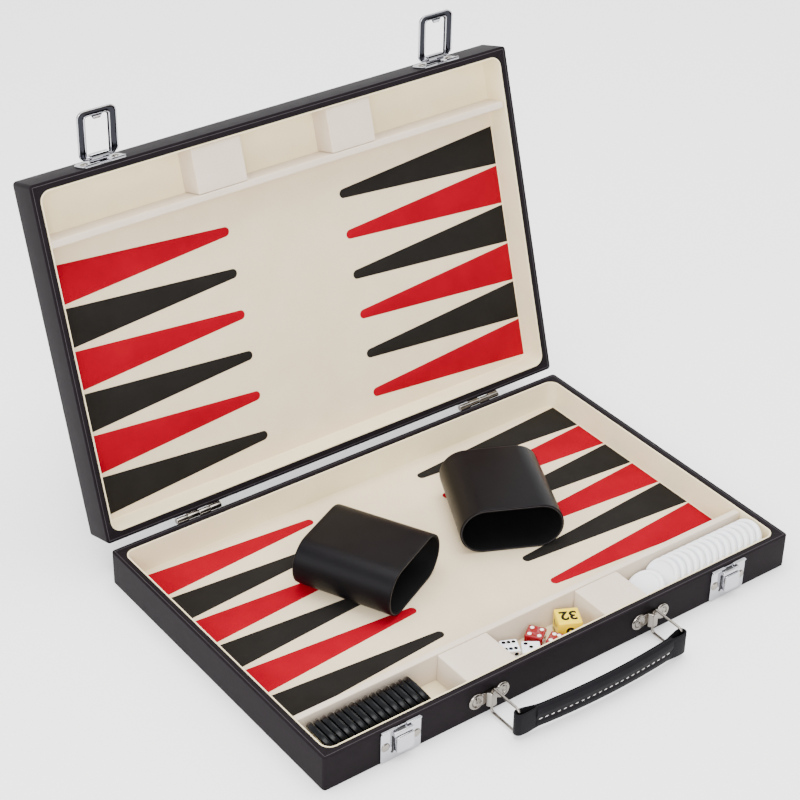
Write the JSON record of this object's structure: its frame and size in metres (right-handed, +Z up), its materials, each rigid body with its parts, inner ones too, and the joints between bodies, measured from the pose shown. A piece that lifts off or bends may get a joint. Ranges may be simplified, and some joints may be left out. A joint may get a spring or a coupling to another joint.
{
  "type": "backgammon set",
  "caption": "Folding case with felt playing boards, checkers, dice, a doubling cube, dice cups, two hasp latches and a swinging handle.",
  "frame": {"origin": "centre of the tray's underside, on the surface the open case stands on", "axes": "+X along the hinge line towards the white checkers' end, -Y the front with the latches and the handle, +Y the hinge side, +Z up"},
  "size_m": [0.38, 0.3799, 0.2974],
  "materials": {
    "leatherette": "fine-grained black leatherette, satin",
    "felt": "cream felt",
    "block_felt": "off-white fine felt",
    "nickel": "bright nickel plate",
    "chrome": "polished chrome plate",
    "handle_leather": "black leather with white stitching",
    "cup_leather": "smooth black leather, satin",
    "white_dice": "polished white plastic",
    "red_dice": "translucent red plastic",
    "yellow_plastic": "polished yellow plastic",
    "black_plastic": "polished black plastic",
    "white_plastic": "polished white plastic"
  },
  "bodies": {
    "case": {"tray_shell": "leatherette", "tray_lining": "felt", "tray_divider": "block_felt", "hinge_tray_leaf_left": "nickel", "hinge_tray_leaf_right": "nickel", "latch_plate_left": "chrome", "latch_plate_right": "chrome", "handle_bracket_left": "nickel", "handle_bracket_right": "nickel"},
    "lid": {"lid_shell": "leatherette", "lid_lining": "felt", "lid_divider": "block_felt", "hinge_lid_leaf_left": "nickel", "hinge_lid_leaf_right": "nickel", "hasp_bracket_left": "chrome", "hasp_bracket_right": "chrome"},
    "hasp_left": {"hasp_loop_left": "chrome"},
    "latch_button_left": {"latch_button_left": "chrome"},
    "handle_wire_left": {"handle_wire_left": "nickel"},
    "hasp_right": {"hasp_loop_right": "chrome"},
    "latch_button_right": {"latch_button_right": "chrome"},
    "handle_wire_right": {"handle_wire_right": "nickel"},
    "handle_strap": {"handle_strap": "handle_leather"},
    "cup_left": {"cup_left": "cup_leather"},
    "cup_right": {"cup_right": "cup_leather"},
    "die_white_left": {"die_white_left": "white_dice"},
    "die_white_right": {"die_white_right": "white_dice"},
    "die_red_left": {"die_red_left": "red_dice"},
    "die_red_right": {"die_red_right": "red_dice"},
    "doubling_cube": {"doubling_cube": "yellow_plastic"},
    "checker_black_01": {"checker_black_01": "black_plastic"},
    "checker_black_02": {"checker_black_02": "black_plastic"},
    "checker_black_03": {"checker_black_03": "black_plastic"},
    "checker_black_04": {"checker_black_04": "black_plastic"},
    "checker_black_05": {"checker_black_05": "black_plastic"},
    "checker_black_06": {"checker_black_06": "black_plastic"},
    "checker_black_07": {"checker_black_07": "black_plastic"},
    "checker_black_08": {"checker_black_08": "black_plastic"},
    "checker_black_09": {"checker_black_09": "black_plastic"},
    "checker_black_10": {"checker_black_10": "black_plastic"},
    "checker_black_11": {"checker_black_11": "black_plastic"},
    "checker_black_12": {"checker_black_12": "black_plastic"},
    "checker_black_13": {"checker_black_13": "black_plastic"},
    "checker_black_14": {"checker_black_14": "black_plastic"},
    "checker_black_15": {"checker_black_15": "black_plastic"},
    "checker_white_01": {"checker_white_01": "white_plastic"},
    "checker_white_02": {"checker_white_02": "white_plastic"},
    "checker_white_03": {"checker_white_03": "white_plastic"},
    "checker_white_04": {"checker_white_04": "white_plastic"},
    "checker_white_05": {"checker_white_05": "white_plastic"},
    "checker_white_06": {"checker_white_06": "white_plastic"},
    "checker_white_07": {"checker_white_07": "white_plastic"},
    "checker_white_08": {"checker_white_08": "white_plastic"},
    "checker_white_09": {"checker_white_09": "white_plastic"},
    "checker_white_10": {"checker_white_10": "white_plastic"},
    "checker_white_11": {"checker_white_11": "white_plastic"},
    "checker_white_12": {"checker_white_12": "white_plastic"},
    "checker_white_13": {"checker_white_13": "white_plastic"},
    "checker_white_14": {"checker_white_14": "white_plastic"},
    "checker_white_15": {"checker_white_15": "white_plastic"}
  },
  "joints": [
    {"name": "lid_hinge", "type": "hinge", "parent": "case", "child": "lid", "pos_m": [0, 0.1252, 0.0257], "axis": [-1, 0, 0], "range_deg": [-107, 73]},
    {"name": "hasp_left_turn", "type": "hinge", "parent": "lid", "child": "hasp_left", "pos_m": [-0.1345, 0.20774, 0.26387], "axis": [-1, 0, 0], "range_deg": [-73, 40]},
    {"name": "hasp_right_turn", "type": "hinge", "parent": "lid", "child": "hasp_right", "pos_m": [0.1345, 0.20774, 0.26387], "axis": [-1, 0, 0], "range_deg": [-73, 40]},
    {"name": "latch_left_slide", "type": "slide", "parent": "case", "child": "latch_button_left", "axis": [-1, 0, 0], "range_m": [0, 0.0018], "stiffness_N_per_m": 300, "springref_m": -0.001},
    {"name": "latch_right_slide", "type": "slide", "parent": "case", "child": "latch_button_right", "axis": [-1, 0, 0], "range_m": [0, 0.0018], "stiffness_N_per_m": 300, "springref_m": -0.001},
    {"name": "handle_left_swing", "type": "hinge", "parent": "case", "child": "handle_wire_left", "pos_m": [-0.0665, -0.1257, 0.0118], "axis": [0, 0, 1], "range_deg": [-70, 70]},
    {"name": "handle_right_swing", "type": "hinge", "parent": "case", "child": "handle_wire_right", "pos_m": [0.0665, -0.1257, 0.0118], "axis": [0, 0, 1], "range_deg": [-70, 70]},
    {"name": "handle_strap_turn", "type": "hinge", "parent": "handle_wire_left", "child": "handle_strap", "pos_m": [-0.0665, -0.1517, 0.0118], "axis": [0, 0, 1], "range_deg": [-70, 70]},
    {"name": "lift_cup_left", "type": "slide", "parent": "case", "child": "cup_left", "axis": [0, 0, 1], "range_m": [0, 0.06]},
    {"name": "lift_cup_right", "type": "slide", "parent": "case", "child": "cup_right", "axis": [0, 0, 1], "range_m": [0, 0.06]},
    {"name": "lift_die_white_left", "type": "slide", "parent": "case", "child": "die_white_left", "axis": [0, 0, 1], "range_m": [0, 0.04]},
    {"name": "lift_die_white_right", "type": "slide", "parent": "case", "child": "die_white_right", "axis": [0, 0, 1], "range_m": [0, 0.04]},
    {"name": "lift_die_red_left", "type": "slide", "parent": "case", "child": "die_red_left", "axis": [0, 0, 1], "range_m": [0, 0.04]},
    {"name": "lift_die_red_right", "type": "slide", "parent": "case", "child": "die_red_right", "axis": [0, 0, 1], "range_m": [0, 0.04]},
    {"name": "lift_doubling_cube", "type": "slide", "parent": "case", "child": "doubling_cube", "axis": [0, 0, 1], "range_m": [0, 0.04]},
    {"name": "lift_checker_black_01", "type": "slide", "parent": "case", "child": "checker_black_01", "axis": [-0.515, 0, 0.8572], "range_m": [0, 0.035]},
    {"name": "lift_checker_black_02", "type": "slide", "parent": "case", "child": "checker_black_02", "axis": [-0.515, 0, 0.8572], "range_m": [0, 0.035]},
    {"name": "lift_checker_black_03", "type": "slide", "parent": "case", "child": "checker_black_03", "axis": [-0.515, 0, 0.8572], "range_m": [0, 0.035]},
    {"name": "lift_checker_black_04", "type": "slide", "parent": "case", "child": "checker_black_04", "axis": [-0.515, 0, 0.8572], "range_m": [0, 0.035]},
    {"name": "lift_checker_black_05", "type": "slide", "parent": "case", "child": "checker_black_05", "axis": [-0.515, 0, 0.8572], "range_m": [0, 0.035]},
    {"name": "lift_checker_black_06", "type": "slide", "parent": "case", "child": "checker_black_06", "axis": [-0.515, 0, 0.8572], "range_m": [0, 0.035]},
    {"name": "lift_checker_black_07", "type": "slide", "parent": "case", "child": "checker_black_07", "axis": [-0.515, 0, 0.8572], "range_m": [0, 0.035]},
    {"name": "lift_checker_black_08", "type": "slide", "parent": "case", "child": "checker_black_08", "axis": [-0.515, 0, 0.8572], "range_m": [0, 0.035]},
    {"name": "lift_checker_black_09", "type": "slide", "parent": "case", "child": "checker_black_09", "axis": [-0.515, 0, 0.8572], "range_m": [0, 0.035]},
    {"name": "lift_checker_black_10", "type": "slide", "parent": "case", "child": "checker_black_10", "axis": [-0.515, 0, 0.8572], "range_m": [0, 0.035]},
    {"name": "lift_checker_black_11", "type": "slide", "parent": "case", "child": "checker_black_11", "axis": [-0.515, 0, 0.8572], "range_m": [0, 0.035]},
    {"name": "lift_checker_black_12", "type": "slide", "parent": "case", "child": "checker_black_12", "axis": [-0.515, 0, 0.8572], "range_m": [0, 0.035]},
    {"name": "lift_checker_black_13", "type": "slide", "parent": "case", "child": "checker_black_13", "axis": [-0.515, 0, 0.8572], "range_m": [0, 0.035]},
    {"name": "lift_checker_black_14", "type": "slide", "parent": "case", "child": "checker_black_14", "axis": [-0.515, 0, 0.8572], "range_m": [0, 0.035]},
    {"name": "lift_checker_black_15", "type": "slide", "parent": "case", "child": "checker_black_15", "axis": [-0.515, 0, 0.8572], "range_m": [0, 0.035]},
    {"name": "lift_checker_white_01", "type": "slide", "parent": "case", "child": "checker_white_01", "axis": [0.5736, 0, 0.8192], "range_m": [0, 0.035]},
    {"name": "lift_checker_white_02", "type": "slide", "parent": "case", "child": "checker_white_02", "axis": [0.5736, 0, 0.8192], "range_m": [0, 0.035]},
    {"name": "lift_checker_white_03", "type": "slide", "parent": "case", "child": "checker_white_03", "axis": [0.5736, 0, 0.8192], "range_m": [0, 0.035]},
    {"name": "lift_checker_white_04", "type": "slide", "parent": "case", "child": "checker_white_04", "axis": [0.5736, 0, 0.8192], "range_m": [0, 0.035]},
    {"name": "lift_checker_white_05", "type": "slide", "parent": "case", "child": "checker_white_05", "axis": [0.5736, 0, 0.8192], "range_m": [0, 0.035]},
    {"name": "lift_checker_white_06", "type": "slide", "parent": "case", "child": "checker_white_06", "axis": [0.5736, 0, 0.8192], "range_m": [0, 0.035]},
    {"name": "lift_checker_white_07", "type": "slide", "parent": "case", "child": "checker_white_07", "axis": [0.5736, 0, 0.8192], "range_m": [0, 0.035]},
    {"name": "lift_checker_white_08", "type": "slide", "parent": "case", "child": "checker_white_08", "axis": [0.5736, 0, 0.8192], "range_m": [0, 0.035]},
    {"name": "lift_checker_white_09", "type": "slide", "parent": "case", "child": "checker_white_09", "axis": [0.5736, 0, 0.8192], "range_m": [0, 0.035]},
    {"name": "lift_checker_white_10", "type": "slide", "parent": "case", "child": "checker_white_10", "axis": [0.5736, 0, 0.8192], "range_m": [0, 0.035]},
    {"name": "lift_checker_white_11", "type": "slide", "parent": "case", "child": "checker_white_11", "axis": [0.5736, 0, 0.8192], "range_m": [0, 0.035]},
    {"name": "lift_checker_white_12", "type": "slide", "parent": "case", "child": "checker_white_12", "axis": [0.5736, 0, 0.8192], "range_m": [0, 0.035]},
    {"name": "lift_checker_white_13", "type": "slide", "parent": "case", "child": "checker_white_13", "axis": [0.5736, 0, 0.8192], "range_m": [0, 0.035]},
    {"name": "lift_checker_white_14", "type": "slide", "parent": "case", "child": "checker_white_14", "axis": [0.5736, 0, 0.8192], "range_m": [0, 0.035]},
    {"name": "lift_checker_white_15", "type": "slide", "parent": "case", "child": "checker_white_15", "axis": [0, 0, 1], "range_m": [0, 0.035]}
  ],
  "couplings": [
    {"joint": "handle_right_swing", "follows": "handle_left_swing", "ratio": 1},
    {"joint": "handle_strap_turn", "follows": "handle_left_swing", "ratio": -1}
  ]
}
